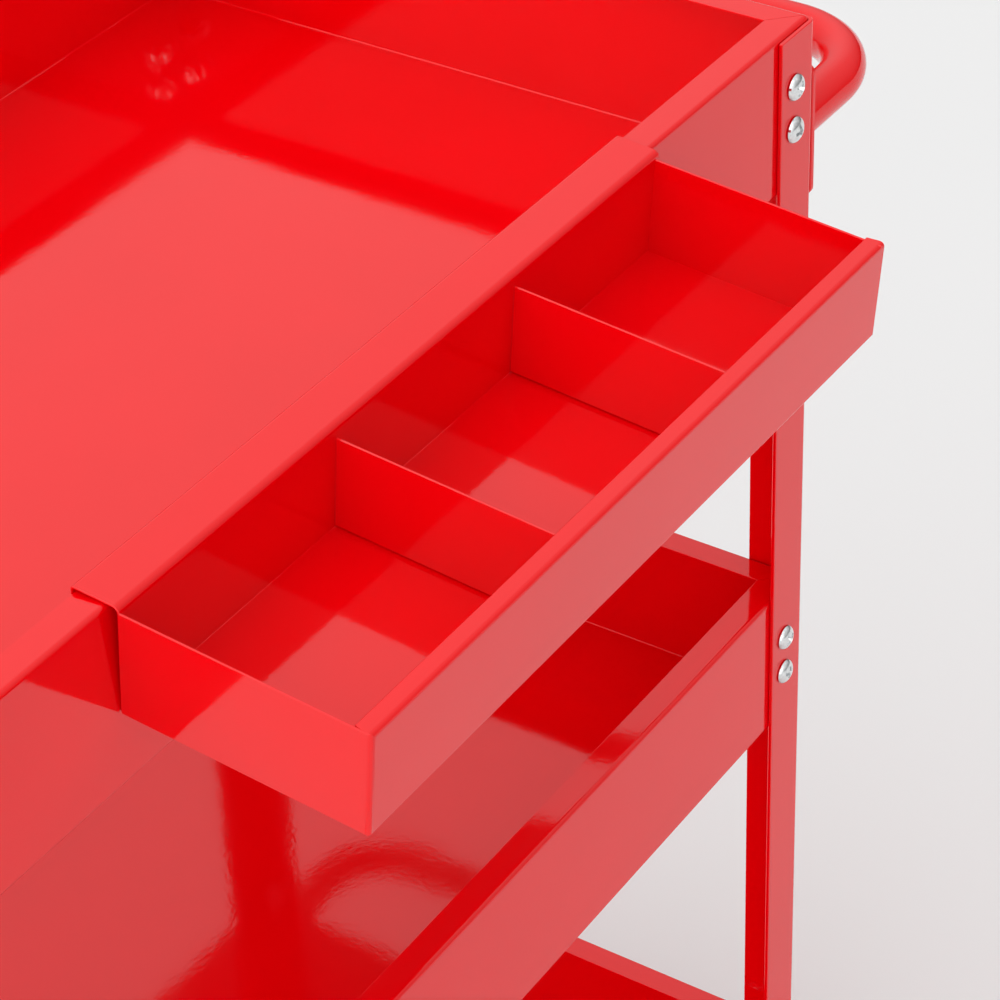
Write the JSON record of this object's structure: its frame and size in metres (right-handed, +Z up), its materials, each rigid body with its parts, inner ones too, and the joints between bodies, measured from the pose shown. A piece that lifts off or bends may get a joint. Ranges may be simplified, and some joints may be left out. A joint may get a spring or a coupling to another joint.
{
  "type": "workshop tool trolley",
  "caption": "Three-tier sheet-steel tool trolley with deep trays on angle legs, castors, a push handle and a divided parts tray hooked over the upper rim.",
  "frame": {"origin": "middle of the whole trolley's bounding box, on the floor it stands on", "axes": "+Z up, +X along the trays to the push handle, -Y to the side the parts tray hangs on"},
  "size_m": [0.8024, 0.4832, 0.828],
  "materials": {
    "red_paint": "glossy powder coat with a faint orange peel",
    "zinc_screws": "bright zinc plate",
    "castor_steel": "zinc plated pressed steel",
    "wheel_plastic": "satin moulded",
    "tyre_rubber": "matt",
    "pedal_plastic": "satin moulded"
  },
  "bodies": {
    "trolley": {"castor_back_left_axle": "zinc_screws", "castor_back_left_bracket": "castor_steel", "castor_back_right_plate": "castor_steel", "castor_front_left_axle": "zinc_screws", "castor_front_left_bracket": "castor_steel", "castor_front_right_plate": "castor_steel", "handle_screw_back_1": "zinc_screws", "handle_screw_back_2": "zinc_screws", "handle_screw_front_1": "zinc_screws", "handle_screw_front_2": "zinc_screws", "leg_back_left": "red_paint", "leg_back_right": "red_paint", "leg_front_left": "red_paint", "leg_front_right": "red_paint", "lower_tray": "red_paint", "lower_tray_screw_back_left_1": "zinc_screws", "lower_tray_screw_back_left_2": "zinc_screws", "lower_tray_screw_back_right_1": "zinc_screws", "lower_tray_screw_back_right_2": "zinc_screws", "lower_tray_screw_front_left_1": "zinc_screws", "lower_tray_screw_front_left_2": "zinc_screws", "lower_tray_screw_front_right_1": "zinc_screws", "lower_tray_screw_front_right_2": "zinc_screws", "middle_tray": "red_paint", "middle_tray_screw_back_left_1": "zinc_screws", "middle_tray_screw_back_left_2": "zinc_screws", "middle_tray_screw_back_right_1": "zinc_screws", "middle_tray_screw_back_right_2": "zinc_screws", "middle_tray_screw_front_left_1": "zinc_screws", "middle_tray_screw_front_left_2": "zinc_screws", "middle_tray_screw_front_right_1": "zinc_screws", "middle_tray_screw_front_right_2": "zinc_screws", "push_handle": "red_paint", "upper_tray": "red_paint", "upper_tray_screw_back_left_1": "zinc_screws", "upper_tray_screw_back_left_2": "zinc_screws", "upper_tray_screw_back_right_1": "zinc_screws", "upper_tray_screw_back_right_2": "zinc_screws", "upper_tray_screw_front_left_1": "zinc_screws", "upper_tray_screw_front_left_2": "zinc_screws", "upper_tray_screw_front_right_1": "zinc_screws", "upper_tray_screw_front_right_2": "zinc_screws"},
    "parts_tray": {"hook_tray": "red_paint", "hook_tray_divider_1": "red_paint", "hook_tray_divider_2": "red_paint"},
    "front_left_wheel": {"castor_front_left_wheel": "wheel_plastic", "castor_front_left_tyre": "tyre_rubber"},
    "front_right_fork": {"castor_front_right_fork": "castor_steel", "castor_front_right_axle": "zinc_screws"},
    "front_right_wheel": {"castor_front_right_wheel": "wheel_plastic", "castor_front_right_tyre": "tyre_rubber"},
    "front_right_brake": {"castor_front_right_brake_pedal": "pedal_plastic"},
    "back_left_wheel": {"castor_back_left_wheel": "wheel_plastic", "castor_back_left_tyre": "tyre_rubber"},
    "back_right_fork": {"castor_back_right_fork": "castor_steel", "castor_back_right_axle": "zinc_screws"},
    "back_right_wheel": {"castor_back_right_wheel": "wheel_plastic", "castor_back_right_tyre": "tyre_rubber"},
    "back_right_brake": {"castor_back_right_brake_pedal": "pedal_plastic"}
  },
  "joints": [
    {"name": "parts_tray_lift", "type": "slide", "parent": "trolley", "child": "parts_tray", "axis": [0, 0, 1], "range_m": [0, 0.07]},
    {"name": "front_left_wheel_spin", "type": "hinge", "parent": "trolley", "child": "front_left_wheel", "pos_m": [-0.34888, -0.08661, 0.05], "axis": [0, 1, 0], "continuous": true},
    {"name": "front_right_castor_swivel", "type": "hinge", "parent": "trolley", "child": "front_right_fork", "pos_m": [0.25112, -0.08661, 0.118], "axis": [0, 0, 1], "continuous": true},
    {"name": "front_right_wheel_spin", "type": "hinge", "parent": "front_right_fork", "child": "front_right_wheel", "pos_m": [0.28112, -0.08661, 0.05], "axis": [0, 1, 0], "continuous": true},
    {"name": "front_right_brake_press", "type": "hinge", "parent": "front_right_fork", "child": "front_right_brake", "pos_m": [0.33112, -0.08661, 0.088], "axis": [0, 1, 0], "range_deg": [0, 14]},
    {"name": "back_left_wheel_spin", "type": "hinge", "parent": "trolley", "child": "back_left_wheel", "pos_m": [-0.34888, 0.19139, 0.05], "axis": [0, 1, 0], "continuous": true},
    {"name": "back_right_castor_swivel", "type": "hinge", "parent": "trolley", "child": "back_right_fork", "pos_m": [0.25112, 0.19139, 0.118], "axis": [0, 0, 1], "continuous": true},
    {"name": "back_right_wheel_spin", "type": "hinge", "parent": "back_right_fork", "child": "back_right_wheel", "pos_m": [0.28112, 0.19139, 0.05], "axis": [0, 1, 0], "continuous": true},
    {"name": "back_right_brake_press", "type": "hinge", "parent": "back_right_fork", "child": "back_right_brake", "pos_m": [0.33112, 0.19139, 0.088], "axis": [0, 1, 0], "range_deg": [0, 14]}
  ]
}
